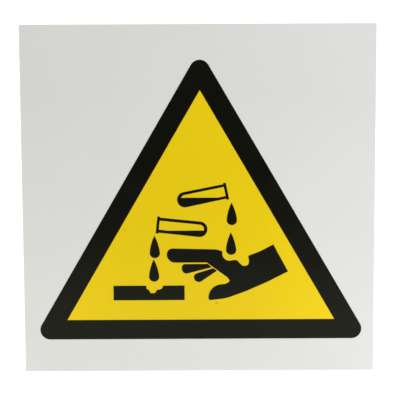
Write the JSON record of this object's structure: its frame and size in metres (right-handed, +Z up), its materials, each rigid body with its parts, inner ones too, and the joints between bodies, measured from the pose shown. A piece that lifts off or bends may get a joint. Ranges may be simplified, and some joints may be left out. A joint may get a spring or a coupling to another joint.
{
  "type": "corrosive warning sign",
  "caption": "Square white plastic wall sign, printed with a yellow triangle in a black border that warns of corrosive substances with dripping test tubes, a bar and a hand.",
  "frame": {"origin": "middle of the back face, which goes against the wall", "axes": "+X to the right as the sign is read, +Z up, printed front towards -Y, so +Y points into the wall"},
  "size_m": [0.2, 0.0011, 0.2],
  "materials": {
    "white_plastic": "rigid white plastic sheet with a satin surface, cut edges",
    "yellow_ink": "screen-printed yellow ink, satin",
    "black_ink": "screen-printed black ink, satin"
  },
  "bodies": {
    "root": {"panel": "white_plastic", "yellow_field": "yellow_ink", "black_border": "black_ink", "upper_tube": "black_ink", "lower_tube": "black_ink", "upper_right_drop": "black_ink", "lower_right_drop": "black_ink", "upper_left_drop": "black_ink", "lower_left_drop": "black_ink", "eaten_bar": "black_ink", "hand": "black_ink", "middle_finger": "black_ink", "little_finger": "black_ink"}
  },
  "joints": []
}
